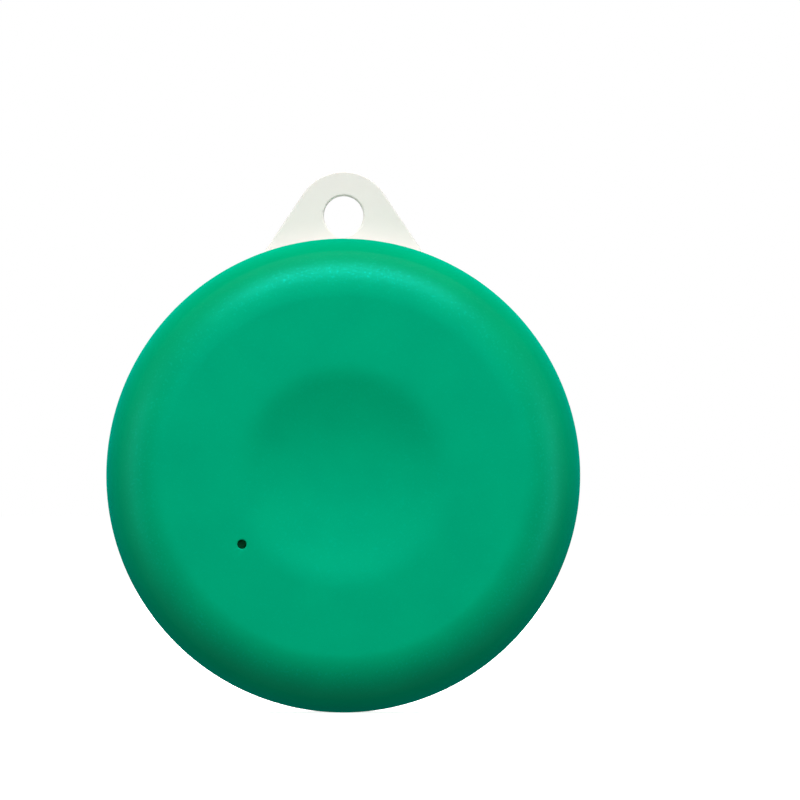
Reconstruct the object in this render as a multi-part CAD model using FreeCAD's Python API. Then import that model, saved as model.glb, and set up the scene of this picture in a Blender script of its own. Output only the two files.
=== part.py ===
"""Round tag that senses temperature and humidity and runs on a 20 mm coin cell. Sizes are in millimetres.

The tag stands upright: its front faces -Y, its lanyard lug points to +Z, and the origin is the centre of its
flat back. Depth is the distance in front of the back, so what lies at depth d has Y = -d.
"""

import FreeCAD, Part
import math
import os

Vector = FreeCAD.Vector
BACKWARD = Vector(0, 1, 0)
FORWARD = Vector(0, -1, 0)
RIGHT = Vector(1, 0, 0)
UP = Vector(0, 0, 1)

# How far a rib, boss or clip is sunk into the wall that it is moulded with
root = 0.3

# Angle at which turned surfaces close on themselves, clear of every rib, clip and slot
seam_angle = 20.0

# Housing
body_diameter = 32.0
wall = 1.3
seam_depth = 3.0
shoulder_radius = 4.0
back_chamfer = 0.9
floor_thickness = 1.2

# Thumb dish in the middle of the front, thin enough to be pressed in, with a nub under it for the switch
dish_diameter = 15.6
dish_depth = 0.68
dish_lip = 1.6
dish_skin = 0.75
nub_radius = 0.9
nub_height = 0.7
nub_gap = 0.05

# Lanyard lug, moulded with the rear cover
lug_thickness = 1.8
lug_top = 20.6
lug_tip_radius = 3.25
lug_flank_angle = 56.3
lug_root_fillet = 1.5
lug_root_sink = 0.1
lug_overlap = 2.0
lug_edge_chamfer = 0.3
lug_hole_radius = 1.34
lug_hole_margin = 1.66
lug_hole_chamfer = 0.15

# Spigot of the rear cover, in three lengths between the clips, with crush ribs that grip the front cover
spigot_height = 1.5
spigot_clearance = 0.12
spigot_wall = 1.2
spigot_chamfer = 0.2
spigot_sweep = 90.0
spigot_middles = (30.0, 150.0, 270.0)
crush_rib_radius = 0.3
crush_rib_offset = 30.0
crush_rib_gap = 0.02

# Key that turns the covers the right way round, and the slot that a nail opens them with
key_width = 2.0
key_thickness = 0.5
key_reach = 0.8
key_clearance = 0.06
pry_width = 5.0
pry_height = 0.8
pry_reach = 1.0

# Coin cell, set low in the tag so that the antenna is clear of it
cell_diameter = 20.0
cell_height = 3.2
cell_rim_gap = 1.38
cell_sheet = 0.25
cell_rim_width = 0.45
cell_rim_chamfer = 0.25
cell_cap_diameter = 17.6
cell_cap_step = 0.3
cell_cap_chamfer = 0.2
cell_gasket_thickness = 0.4

# Pocket of four arched walls round the cell, open at its sides for the contacts and above for a nail
pocket_clearance = 0.15
pocket_wall = 0.95
pocket_height = 2.9
pocket_sweep = 40.0
pocket_middles = (45.0, 135.0, 225.0, 315.0)

# Circuit board, held between six ribs and three clips of the front cover
clip_space = 1.9
board_thickness = 0.8
board_clearance = 0.1
notch_width = 1.9
notch_depth = 1.2
notch_angle = 270.0
rib_count = 6
rib_width = 1.0
rib_bite = 0.8
clip_angles = (90.0, 210.0, 330.0)
clip_width = 3.0
clip_thickness = 0.8
clip_hook = 0.5
clip_hook_height = 0.7
clip_play = 0.03
clip_round = 0.12

# Leaf contacts between the cell and the rear of the board
contact_gap = 0.8
leaf_sheet = 0.2
leaf_width = 3.0
leaf_foot = 1.6
leaf_bend = 0.35
leaf_gap = 0.02
positive_reach = 2.8
positive_press = 2.0
positive_bow = 0.55
negative_foot = 5.6
negative_bend = 0.7
negative_tail = 0.8

# Push switch under the dish
switch_size = 4.5
switch_base_height = 0.7
switch_well_depth = 0.45
switch_well_radius = 1.6
switch_sheet = 0.12
switch_tab_width = 1.6
switch_tab_lift = 0.2
switch_terminal = 0.6
dome_radius = 1.5
dome_crown_radius = 0.5
dome_height = 0.25
dome_edge = 0.08
plunger_radius = 0.85
plunger_flange_radius = 1.4
plunger_flange_height = 0.16
plunger_height = 1.45
plunger_clearance = 0.1
plunger_play = 0.01

# Vent and the humidity sensor behind it
vent_x = -6.8
vent_z = -4.6
vent_radius = 0.31
vent_land = 0.7
vent_well_radius = 0.7
boss_size = 4.2
boss_to_board = 1.6
sensor_size = 2.5
sensor_height = 0.9
sensor_window_radius = 0.55
sensor_window_depth = 0.2
gasket_wall = 0.7
membrane_size = 2.6
membrane_thickness = 0.2

# Printed antenna under the lug, on the front of the board
antenna_width = 8.4
antenna_height = 2.0
antenna_track = 0.3
antenna_bars = 11
antenna_margin = 0.6
antenna_gap = 0.33
copper = 0.07

# Radio, crystals, lamp and small parts on the front of the board: width, height and thickness
chip_size = (5.0, 5.0, 0.85)
main_crystal_size = (2.5, 2.0, 0.55)
clock_crystal_size = (3.2, 1.5, 0.75)
inductor_size = (2.0, 1.25, 1.0)
lamp_size = (1.6, 0.8, 0.6)
capacitor_size = (1.0, 0.5, 0.5)
resistor_size = (1.0, 0.5, 0.35)

# Where they are: the lamp from the middle, and the rest from the radio, the vent or the lamp
lamp_place = (7.2, -4.4)
main_crystal_offset = (4.9, 0.0)
clock_crystal_offset = (-5.2, 0.3)
inductor_offset = (5.4, -3.4)
radio_capacitor_offsets = [
    (-4.4, -1.8),
    (-4.4, -2.8),
    (-4.1, 2.2),
    (4.1, 2.2),
    (5.7, 2.2),
    (7.3, -1.4),
    (7.3, -0.4),
]
radio_resistor_offsets = [(4.4, -5.4)]
vent_capacitor_offsets = [(3.5, 0.8)]
vent_resistor_offsets = [(3.5, -0.2), (3.5, -1.2)]
lamp_resistor_offsets = [(-2.3, 0.5), (-2.3, -0.5)]

# Test pads on the rear of the board
pad_size = 1.2
pad_pitch = 1.9
pad_count = 5
pad_drop = 2.6

# Sizes that follow
body_radius = body_diameter / 2
dish_radius = dish_diameter / 2
bore_radius = body_radius - wall
room_chamfer = (shoulder_radius - wall) * (2 - math.sqrt(2))
board_radius = bore_radius - clip_space
cell_radius = cell_diameter / 2
cap_radius = cell_cap_diameter / 2
pocket_radius = cell_radius + pocket_clearance
cell_back = floor_thickness
cell_front = cell_back + cell_height
cell_rim = cell_front - cell_cap_step
cell_bore_radius = cell_radius - cell_rim_width
cell_core_radius = cell_bore_radius - cell_gasket_thickness
board_back = cell_front + contact_gap
board_front = board_back + board_thickness
well_floor = board_front + switch_base_height - switch_well_depth
flange_back = well_floor + dome_height + plunger_play
plunger_top = board_front + plunger_height
inner_face = plunger_top + nub_gap + nub_height
dish_floor = inner_face + dish_skin
body_depth = dish_floor + dish_depth
spigot_radius = bore_radius - spigot_clearance
spigot_inner = spigot_radius - spigot_wall
spigot_top = seam_depth + spigot_height
cell_drop = spigot_inner - cell_radius - cell_rim_gap
boss_end = board_front + boss_to_board
antenna_top = math.sqrt((board_radius - antenna_margin) ** 2 - (antenna_width / 2) ** 2)
chip_place = (0.0, antenna_top - antenna_height - antenna_gap - chip_size[1] / 2)
vent_place = (vent_x, vent_z)
lug_hole_height = lug_top - lug_hole_margin - lug_hole_radius


def place(x, z, depth):
    """Point in the tag's frame from where it is seen from the front, and its depth."""
    return Vector(x, -depth, z)


def polar(centre, radius, degrees):
    angle = math.radians(degrees)
    return centre[0] + radius * math.cos(angle), centre[1] + radius * math.sin(angle)


def unit(start, end):
    length = math.hypot(end[0] - start[0], end[1] - start[1])
    return (end[0] - start[0]) / length, (end[1] - start[1]) / length


def outline(steps, point):
    """Closed wire; a step is a flat point, or a pair (through, end) for an arc."""
    last = point(*steps[0])
    edges = []
    for step in steps[1:] + steps[:1]:
        if isinstance(step[0], tuple):
            through, end = point(*step[0]), point(*step[1])
            edges.append(Part.Arc(last, through, end).toShape())
        else:
            end = point(*step)
            edges.append(Part.LineSegment(last, end).toShape())
        last = end
    return Part.Wire(edges)


def rounded(corners, point):
    """Closed wire through (u, v, radius) corners, each rounded by its radius."""
    steps = []
    for i, (u, v, radius) in enumerate(corners):
        if not radius:
            steps.append((u, v))
            continue
        back, on = unit((u, v), corners[i - 1]), unit((u, v), corners[(i + 1) % len(corners)])
        half = math.acos(back[0] * on[0] + back[1] * on[1]) / 2
        inward = unit((0, 0), (back[0] + on[0], back[1] + on[1]))
        setback, reach = radius / math.tan(half), radius / math.sin(half) - radius
        steps.append((u + back[0] * setback, v + back[1] * setback))
        through = (u + inward[0] * reach, v + inward[1] * reach)
        steps.append((through, (u + on[0] * setback, v + on[1] * setback)))
    return outline(steps, point)


def turned(*steps, x=0.0, z=0.0, start=seam_angle, sweep=360):
    """Solid turned about the line along Y at (x, z), from an outline of (radius, depth) steps."""
    wire = outline(list(steps), lambda radius, depth: place(radius, 0, depth))
    solid = Part.Face(wire).revolve(Vector(0, 0, 0), FORWARD, sweep)
    solid.rotate(Vector(0, 0, 0), FORWARD, start)
    solid.translate(Vector(x, 0, z))
    return solid


def arch(outer, inner, depth_from, depth_to, middle, sweep, x=0.0, z=0.0):
    """Length of a round wall, from its middle in degrees and the angle that it spans."""
    corners = [(inner, depth_from), (outer, depth_from), (outer, depth_to), (inner, depth_to)]
    return turned(*corners, x=x, z=z, start=middle - sweep / 2, sweep=sweep)


def disc(radius, depth_from, depth_to, x=0.0, z=0.0):
    return Part.makeCylinder(radius, depth_to - depth_from, place(x, z, depth_from), FORWARD)


def block(width, height, depth_from, depth_to, x=0.0, z=0.0):
    """Box centred on (x, z)."""
    corner = place(x - width / 2, z - height / 2, depth_to)
    return Part.makeBox(width, depth_to - depth_from, height, corner)


def spoke(inner, outer, width, depth_from, depth_to, degrees):
    """Block that runs outwards from inner to outer radius, turned to its place round the axis."""
    shape = block(outer - inner, width, depth_from, depth_to, x=(inner + outer) / 2)
    return swung(shape, degrees)


def swung(shape, degrees):
    """Copy turned about the tag's axis, anticlockwise as seen from the front."""
    copy = shape.copy()
    copy.rotate(Vector(0, 0, 0), FORWARD, degrees)
    return copy


def leaf(path, bends, across, along, z):
    """Strip of leaf sheet whose middle follows (across, depth) points, with rounded bends between them."""
    left, right = [], []
    for i, (u, d) in enumerate(path):
        before = unit(path[i - 1], path[i]) if i else unit(path[0], path[1])
        after = unit(path[i], path[i + 1]) if i < len(path) - 1 else before
        hand = 1 if before[0] * after[1] - before[1] * after[0] > 0 else -1
        mitre = 1 + before[0] * after[0] + before[1] * after[1]
        off_u = -(before[1] + after[1]) / mitre * leaf_sheet / 2
        off_d = (before[0] + after[0]) / mitre * leaf_sheet / 2
        bend = bends[i]
        left.append((u + off_u, d + off_d, bend and bend - hand * leaf_sheet / 2))
        right.append((u - off_u, d - off_d, bend and bend + hand * leaf_sheet / 2))
    wire = rounded(left + right[::-1], lambda u, d: across * u + FORWARD * d)
    strip = Part.Face(wire).extrude(along * leaf_width)
    strip.translate(along * (-leaf_width / 2) + UP * z)
    return strip


def package(size, base, offset=(0, 0)):
    """Small part soldered on the front of the board, at its offset from what it belongs to."""
    width, height, thickness = size
    x, z = base[0] + offset[0], base[1] + offset[1]
    return block(width, height, board_front, board_front + thickness, x, z)


def packages(size, groups):
    """Several of the same part, as (base, offsets) groups."""
    return [package(size, base, offset) for base, offsets in groups for offset in offsets]


def cover_skin():
    """Outer form of the front cover, filled to the seam, with the thumb dish in its face."""
    shoulder = (body_radius - shoulder_radius, body_depth - shoulder_radius)
    slope = 2 * math.degrees(math.atan(dish_depth / dish_radius))
    lip = dish_lip / math.sin(math.radians(slope))
    bowl = (dish_radius - dish_lip) / math.sin(math.radians(slope))
    lip_centre = (dish_radius, body_depth - lip)
    lip_end = polar(lip_centre, lip, 90 + slope)
    blank = turned(
        (0, seam_depth),
        (body_radius, seam_depth),
        (body_radius, shoulder[1]),
        (polar(shoulder, shoulder_radius, 45), (shoulder[0], body_depth)),
        (dish_radius, body_depth),
        (polar(lip_centre, lip, 90 + slope / 2), lip_end),
        (0, lip_end[1]),
    )
    return blank.cut(Part.makeSphere(bowl, place(0, 0, dish_floor + bowl), UP))


def cover_room(grow=0.0):
    """Room inside the front cover, or that room grown all round."""
    radius, top = bore_radius + grow, inner_face + grow
    return turned(
        (0, seam_depth),
        (radius, seam_depth),
        (radius, top - room_chamfer),
        (radius - room_chamfer, top),
        (0, top),
    )


def board_clip(degrees):
    """Springy arm beside the board, with a hook that snaps over the board's rear edge."""
    inner = board_radius + board_clearance
    outer = inner + clip_thickness
    hook = board_radius - clip_hook
    hook_front = board_back - clip_play
    tip = hook_front - clip_hook_height
    wire = rounded(
        [
            (inner, inner_face + root, 0),
            (inner, hook_front, 0),
            (hook, hook_front, clip_round),
            (hook, hook_front - 2 * clip_round, clip_round),
            (inner + clip_round, tip, clip_round),
            (outer, tip, clip_round),
            (outer, inner_face + root, 0),
        ],
        lambda radius, depth: place(radius, 0, depth),
    )
    arm = Part.Face(wire).extrude(UP * clip_width)
    arm.translate(UP * (-clip_width / 2))
    return swung(arm, degrees)


def cover_features():
    """Ribs, clips, board key, nub and vent boss, sunk into the inner wall by their roots."""
    outer = bore_radius + root
    top = inner_face + root
    rib_inner = board_radius - rib_bite
    rib_angles = [360 / rib_count * i for i in range(rib_count)]
    shapes = [spoke(rib_inner, outer, rib_width, board_front, top, angle) for angle in rib_angles]
    shapes += [board_clip(angle) for angle in clip_angles]
    key_inner = board_radius - notch_depth + board_clearance
    shapes.append(spoke(key_inner, outer, notch_width - 2 * board_clearance, board_back, top, notch_angle))
    shapes.append(block(boss_size, boss_size, boss_end, top, vent_x, vent_z))
    room = cover_room(root)
    shapes = [shape.common(room) for shape in shapes]
    shapes.append(disc(nub_radius, inner_face - nub_height, top))
    return shapes


def rim_key(grow=0.0):
    """Tongue on the front cover's rim at twelve o'clock, or the pocket for it when grown."""
    middle = bore_radius + wall / 2
    back = seam_depth - key_reach - grow
    return block(key_width + 2 * grow, key_thickness + 2 * grow, back, seam_depth + root, z=middle)


def make_front_cover():
    cover = cover_skin().cut(cover_room())
    cover = cover.fuse(cover_features() + [rim_key()])
    vent_wide = disc(vent_well_radius, boss_end - root, body_depth - vent_land, vent_x, vent_z)
    vent_fine = disc(vent_radius, boss_end, body_depth + root, vent_x, vent_z)
    return cover.cut([vent_wide, vent_fine]).removeSplitter()


def lug_plate():
    """Tapering plate with a round tip, blended into the round back by a fillet on each side."""
    side = math.radians(lug_flank_angle)
    normal, down = (math.sin(side), math.cos(side)), (math.cos(side), -math.sin(side))
    tip = (0, lug_top - lug_tip_radius)
    tip_end = (tip[0] + normal[0] * lug_tip_radius, tip[1] + normal[1] * lug_tip_radius)
    out = tip[1] * normal[1] + lug_tip_radius + lug_root_fillet
    along = math.sqrt((body_radius - lug_root_sink + lug_root_fillet) ** 2 - out ** 2)
    centre = (normal[0] * out - down[0] * along, normal[1] * out - down[1] * along)
    flank_end = (centre[0] - normal[0] * lug_root_fillet, centre[1] - normal[1] * lug_root_fillet)
    inward = unit(centre, (0, 0))
    body_end = (centre[0] + inward[0] * lug_root_fillet, centre[1] + inward[1] * lug_root_fillet)
    toward = unit(centre, ((flank_end[0] + body_end[0]) / 2, (flank_end[1] + body_end[1]) / 2))
    root_middle = (centre[0] + toward[0] * lug_root_fillet, centre[1] + toward[1] * lug_root_fillet)
    sunk = (body_end[0] + lug_overlap * inward[0], body_end[1] + lug_overlap * inward[1])

    def left(spot):
        return -spot[0], spot[1]

    wire = outline(
        [
            sunk,
            body_end,
            (root_middle, flank_end),
            tip_end,
            ((0, lug_top), left(tip_end)),
            left(flank_end),
            (left(root_middle), left(body_end)),
            left(sunk),
        ],
        lambda x, z: place(x, z, 0),
    )
    plate = Part.Face(wire).extrude(FORWARD * lug_thickness)
    bounds = [(edge, edge.BoundBox) for edge in plate.Edges]
    seen = body_end[1] + lug_root_sink
    rim = [edge for edge, box in bounds if box.YLength < 1e-6 and box.ZMax > seen]
    return plate.makeChamfer(lug_edge_chamfer, rim)


def lug_hole():
    wide = lug_hole_radius + lug_hole_chamfer
    return turned(
        (0, -root),
        (wide + root, -root),
        (lug_hole_radius, lug_hole_chamfer),
        (lug_hole_radius, lug_thickness - lug_hole_chamfer),
        (wide + root, lug_thickness + root),
        (0, lug_thickness + root),
        z=lug_hole_height,
    )


def rear_shell():
    """Floor and rim of the rear cover, turned in one piece."""
    return turned(
        (0, 0),
        (body_radius - back_chamfer, 0),
        (body_radius, back_chamfer),
        (body_radius, seam_depth),
        (spigot_inner, seam_depth),
        (spigot_inner, floor_thickness),
        (0, floor_thickness),
    )


def spigot_lengths():
    """Lengths of wall that stand up inside the front cover, each with two crush ribs."""
    sunk = seam_depth - root
    shapes = []
    for middle in spigot_middles:
        shapes.append(
            turned(
                (spigot_inner, sunk),
                (spigot_radius, sunk),
                (spigot_radius, spigot_top - spigot_chamfer),
                (spigot_radius - spigot_chamfer, spigot_top),
                (spigot_inner, spigot_top),
                start=middle - spigot_sweep / 2,
                sweep=spigot_sweep,
            )
        )
        for side in (-1, 1):
            reach = bore_radius - crush_rib_gap - crush_rib_radius
            spot = polar((0, 0), reach, middle + side * crush_rib_offset)
            shapes.append(disc(crush_rib_radius, sunk, spigot_top - 2 * spigot_chamfer, *spot))
    return shapes


def make_rear_cover():
    sunk = floor_thickness - root
    pocket_top = floor_thickness + pocket_height
    outer = pocket_radius + pocket_wall
    pocket = [
        arch(outer, pocket_radius, sunk, pocket_top, middle, pocket_sweep, z=-cell_drop)
        for middle in pocket_middles
    ]
    cover = rear_shell().fuse([lug_plate()] + spigot_lengths() + pocket)
    pry_middle = pry_reach / 2 - body_radius
    pry_slot = block(pry_width, pry_reach, seam_depth - pry_height, seam_depth + root, z=pry_middle)
    return cover.cut([lug_hole(), rim_key(key_clearance), pry_slot]).removeSplitter()


def make_circuit_board():
    inner, outer = board_radius - notch_depth, board_radius + root
    notch = spoke(inner, outer, notch_width, board_back - root, board_front + root, notch_angle)
    return disc(board_radius, board_back, board_front).cut(notch)


def make_test_pads():
    z = board_radius - pad_drop
    first = -pad_pitch * (pad_count - 1) / 2
    back = board_back - copper
    return [block(pad_size, pad_size, back, board_back, first + i * pad_pitch, z) for i in range(pad_count)]


def make_antenna_trace():
    """Meander of copper along the upper edge of the board, with a feed down to the radio."""
    pitch = (antenna_width - antenna_track) / (antenna_bars - 1)
    front = board_front + copper
    first = (antenna_track - antenna_width) / 2
    middle = antenna_top - antenna_height / 2
    bars = [
        block(antenna_track, antenna_height, board_front, front, first + i * pitch, middle)
        for i in range(antenna_bars)
    ]
    links = [
        block(
            pitch + antenna_track,
            antenna_track,
            board_front,
            front,
            first + (i + 0.5) * pitch,
            middle + (antenna_height - antenna_track) / 2 * (-1) ** i,
        )
        for i in range(antenna_bars - 1)
    ]
    feed_bottom = chip_place[1] + chip_size[1] / 2
    feed_height = antenna_top - feed_bottom
    feed_x = first + (antenna_bars // 2) * pitch
    feed = block(antenna_track, feed_height, board_front, front, feed_x, feed_bottom + feed_height / 2)
    return bars[0].fuse(bars[1:] + links + [feed]).removeSplitter()


def make_capacitors():
    groups = [(chip_place, radio_capacitor_offsets), (vent_place, vent_capacitor_offsets)]
    return packages(capacitor_size, groups)


def make_resistors():
    groups = [
        (chip_place, radio_resistor_offsets),
        (vent_place, vent_resistor_offsets),
        (lamp_place, lamp_resistor_offsets),
    ]
    return packages(resistor_size, groups)


def make_humidity_sensor():
    top = board_front + sensor_height
    window = disc(sensor_window_radius, top - sensor_window_depth, top + root, vent_x, vent_z)
    return package((sensor_size, sensor_size, sensor_height), vent_place).cut(window)


def make_sensor_gasket():
    """Square foam frame round the sensor, pressed between the board and the boss."""
    opening = boss_size - 2 * gasket_wall
    frame = block(boss_size, boss_size, board_front, boss_end, vent_x, vent_z)
    return frame.cut(block(opening, opening, board_front - root, boss_end + root, vent_x, vent_z))


def make_vent_membrane():
    return block(membrane_size, membrane_size, boss_end - membrane_thickness, boss_end, vent_x, vent_z)


def make_switch_base():
    top = board_front + switch_base_height
    base = block(switch_size, switch_size, board_front, top)
    return base.cut(disc(switch_well_radius, well_floor, top + root))


def make_switch_frame():
    """Pressed plate over the base, with a tab folded down each side."""
    back = board_front + switch_base_height
    front = back + switch_sheet
    plate = block(switch_size, switch_size, back, front)
    side = (switch_size + switch_sheet) / 2
    foot = board_front + switch_tab_lift
    tabs = [block(switch_sheet, switch_tab_width, foot, front, sign * side) for sign in (-1, 1)]
    hole = disc(plunger_radius + plunger_clearance, back - root, front + root)
    return plate.fuse(tabs).cut(hole).removeSplitter()


def make_switch_terminals():
    out = (switch_size + switch_terminal) / 2
    up = switch_size / 2 - switch_terminal
    front = board_front + switch_sheet
    spots = [(x * out, z * up) for x in (-1, 1) for z in (-1, 1)]
    return [block(switch_terminal, switch_terminal, board_front, front, *spot) for spot in spots]


def make_switch_dome():
    """Snap dome that rests in the well, filled under its crown."""
    crown = well_floor + dome_height
    return turned(
        (0, well_floor),
        (dome_radius, well_floor),
        (dome_radius, well_floor + dome_edge),
        (dome_crown_radius, crown),
        (0, crown),
    )


def make_switch_plunger():
    flange_front = flange_back + plunger_flange_height
    return disc(plunger_flange_radius, flange_back, flange_front).fuse(
        disc(plunger_radius, flange_back, plunger_top)
    ).removeSplitter()


def make_positive_contacts():
    """Two fingers that run down beside the cell and press on its side."""
    foot_depth = board_back - leaf_sheet / 2
    press = cell_radius + leaf_gap + leaf_sheet / 2
    stem = press + positive_bow
    path = [
        (stem + leaf_foot, foot_depth),
        (stem, foot_depth),
        (press, board_back - positive_press),
        (stem, board_back - positive_reach),
    ]
    bends = [0, leaf_bend, leaf_bend, 0]
    return [leaf(path, bends, RIGHT * side, UP, -cell_drop) for side in (1, -1)]


def make_negative_contact():
    """One long leaf that presses on the middle of the cell's cap."""
    foot_depth = board_back - leaf_sheet / 2
    press = cell_front + leaf_gap + leaf_sheet / 2
    path = [
        (negative_foot + leaf_foot, foot_depth),
        (negative_foot, foot_depth),
        (-cell_drop, press),
        (-cell_drop - negative_tail, press + leaf_sheet),
    ]
    return leaf(path, [0, negative_bend, negative_bend, 0], UP, RIGHT, 0)


def make_cell_can():
    """Drawn cup of the cell, open to the front, with its rim crimped in over the gasket."""
    floor = cell_back + cell_sheet
    return turned(
        (0, cell_back),
        (cell_radius, cell_back),
        (cell_radius, cell_rim - cell_rim_chamfer),
        (cell_radius - cell_rim_chamfer, cell_rim),
        (cell_bore_radius, cell_rim),
        (cell_bore_radius, floor),
        (0, floor),
        z=-cell_drop,
    )


def make_cell_gasket():
    """Moulded ring that keeps the can and the cap apart."""
    corners = [
        (cell_core_radius, cell_back + cell_sheet),
        (cell_bore_radius, cell_back + cell_sheet),
        (cell_bore_radius, cell_rim),
        (cell_core_radius, cell_rim),
    ]
    return turned(*corners, z=-cell_drop)


def make_cell_core():
    """Pressed cathode, separator and anode, stacked as one pack under the cap."""
    return disc(cell_core_radius, cell_back + cell_sheet, cell_rim - cell_sheet, z=-cell_drop)


def make_cell_cap():
    """Lid of the cell, with a raised face and a skirt that the gasket grips."""
    return turned(
        (0, cell_rim - cell_sheet),
        (cell_core_radius, cell_rim - cell_sheet),
        (cell_core_radius, cell_rim),
        (cap_radius, cell_rim),
        (cap_radius, cell_front - cell_cap_chamfer),
        (cap_radius - cell_cap_chamfer, cell_front),
        (0, cell_front),
        z=-cell_drop,
    )


pieces = {
    "front_cover": make_front_cover,
    "rear_cover": make_rear_cover,
    "circuit_board": make_circuit_board,
    "test_pads": make_test_pads,
    "antenna_trace": make_antenna_trace,
    "radio_chip": lambda: package(chip_size, chip_place),
    "main_crystal": lambda: package(main_crystal_size, chip_place, main_crystal_offset),
    "clock_crystal": lambda: package(clock_crystal_size, chip_place, clock_crystal_offset),
    "inductor": lambda: package(inductor_size, chip_place, inductor_offset),
    "status_led": lambda: package(lamp_size, lamp_place),
    "capacitors": make_capacitors,
    "resistors": make_resistors,
    "humidity_sensor": make_humidity_sensor,
    "sensor_gasket": make_sensor_gasket,
    "vent_membrane": make_vent_membrane,
    "switch_base": make_switch_base,
    "switch_frame": make_switch_frame,
    "switch_terminals": make_switch_terminals,
    "switch_dome": make_switch_dome,
    "switch_plunger": make_switch_plunger,
    "positive_contacts": make_positive_contacts,
    "negative_contact": make_negative_contact,
    "cell_can": make_cell_can,
    "cell_gasket": make_cell_gasket,
    "cell_cap": make_cell_cap,
    "cell_core": make_cell_core,
}

os.makedirs("parts", exist_ok=True)
for name, make in pieces.items():
    made = make()
    shape = Part.makeCompound(made) if isinstance(made, list) else made
    shape.exportStep(f"parts/{name}.step")
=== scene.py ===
"""Dresses the round temperature and humidity tag: covers, coin cell, board and small parts, in metres.

The front faces -Y, the lanyard lug points to +Z, and depth is the distance in front of the flat back.
"""

import math

import bpy
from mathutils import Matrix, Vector


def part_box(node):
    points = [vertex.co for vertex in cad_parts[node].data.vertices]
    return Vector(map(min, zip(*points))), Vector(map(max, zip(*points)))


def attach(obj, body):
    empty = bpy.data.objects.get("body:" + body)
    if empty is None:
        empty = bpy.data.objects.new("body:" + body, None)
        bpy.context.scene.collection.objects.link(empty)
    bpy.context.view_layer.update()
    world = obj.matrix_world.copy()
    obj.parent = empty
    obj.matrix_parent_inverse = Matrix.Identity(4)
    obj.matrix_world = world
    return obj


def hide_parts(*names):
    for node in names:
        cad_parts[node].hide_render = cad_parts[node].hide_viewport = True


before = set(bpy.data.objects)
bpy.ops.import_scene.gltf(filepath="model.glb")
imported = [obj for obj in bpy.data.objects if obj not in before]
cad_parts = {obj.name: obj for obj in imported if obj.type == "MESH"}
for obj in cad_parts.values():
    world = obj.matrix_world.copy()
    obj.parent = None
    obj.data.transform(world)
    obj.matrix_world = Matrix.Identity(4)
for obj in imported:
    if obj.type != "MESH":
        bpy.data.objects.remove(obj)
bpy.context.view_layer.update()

bl_info = {
    "name": "Sensor tag",
    "version": (1, 0, 0),
    "blender": (4, 5, 0),
    "location": "3D View > Sidebar > Sensor tag",
    "description": "Models a round temperature and humidity tag and its studio",
    "category": "Object",
}

MM = 0.001
FORWARD = Vector((0, -1, 0))
RIGHT = Vector((1, 0, 0))
UP = Vector((0, 0, 1))
SAME_PLACE = 1e-6

# Segments of a turned piece: one that shows, a small one and a tiny one
FINE = 192
SMALL = 48
TINY = 16

# Angles round the tag's axis in degrees, anticlockwise from the right as seen from the front, and the
# angle up to which two faces are shaded as one
RIB_ANGLES = (0, 60, 120, 180, 240, 300)
CLIP_ANGLES = (90, 210, 330)
BOARD_KEY_ANGLE = 270
SPIGOT_ANGLES = (30, 150, 270)
POCKET_ANGLES = (45, 135, 225, 315)
SMOOTH_ANGLE = 32

# Front cover: roundings, the room's chamfer, how far a rib or clip is sunk into the wall and how far it
# reaches over the board, and the gap, hook, play and corner of a clip
SEAM_ROUND = 0.12 * MM
INNER_CHAMFER = 1.582 * MM
ROOT = 0.06 * MM
RIB_BITE = 0.8 * MM
CLIP_GAP = 0.1 * MM
CLIP_HOOK = 0.5 * MM
CLIP_HOOK_HEIGHT = 0.7 * MM
CLIP_PLAY = 0.03 * MM
CLIP_ROUND = 0.12 * MM

# Rear cover: roundings, how far the lug is sunk into the round back, the crush ribs (their offset from the
# middle of a spigot in degrees), and the key's pocket
BACK_ROUND = 0.15 * MM
LUG_SINK = 0.1 * MM
LUG_OVERLAP = 2.0 * MM
LUG_ROUND = 0.3 * MM
SPIGOT_ROUND = 0.2 * MM
CRUSH_RADIUS = 0.3 * MM
CRUSH_GAP = 0.02 * MM
CRUSH_OFFSET = 30
KEY_REACH = 0.8 * MM
KEY_CLEARANCE = 0.06 * MM

# Small parts: roundings, gaps, the bend of a contact, the reach of solder and its share of a lidded
# part's height, and the radio's dot
CAP_ROUND = 0.12 * MM
GASKET_STAND = 0.04 * MM
LEAF_BEND = 0.3 * MM
LEAF_GAP = 0.02 * MM
VIA_HEIGHT = 0.03 * MM
PART_ROUND = 0.04 * MM
SOLDER_REACH = 0.16 * MM
SOLDER_SHARE = 0.7
LEAD_HEIGHT = 0.2 * MM
DOT_RADIUS = 0.25 * MM
DOT_DEPTH = 0.04 * MM
LID_INSET = 0.12 * MM
PLUNGER_GAP = 0.1 * MM
FLANGE_HEIGHT = 0.16 * MM


def length(name, description, millimetres):
    """Length that a user can change, in metres as the model is."""
    return bpy.props.FloatProperty(
        name=name, description=description, default=millimetres * MM, unit="LENGTH", precision=5
    )


def angle(name, description, degrees):
    """Angle that a user can change, in radians as Blender holds it."""
    return bpy.props.FloatProperty(
        name=name, description=description, default=math.radians(degrees), subtype="ANGLE"
    )


def colour(name, description, code):
    """Colour that a user can change, from its sRGB hex code."""
    return bpy.props.FloatVectorProperty(
        name=name, description=description, default=linear(code), subtype="COLOR", size=4, min=0, max=1
    )


def linear(code):
    """Linear colour with full alpha from an sRGB hex code."""
    shares = [int(code[i : i + 2], 16) / 255 for i in (0, 2, 4)]
    return tuple(s / 12.92 if s <= 0.04045 else ((s + 0.055) / 1.055) ** 2.4 for s in shares) + (1.0,)


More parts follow.
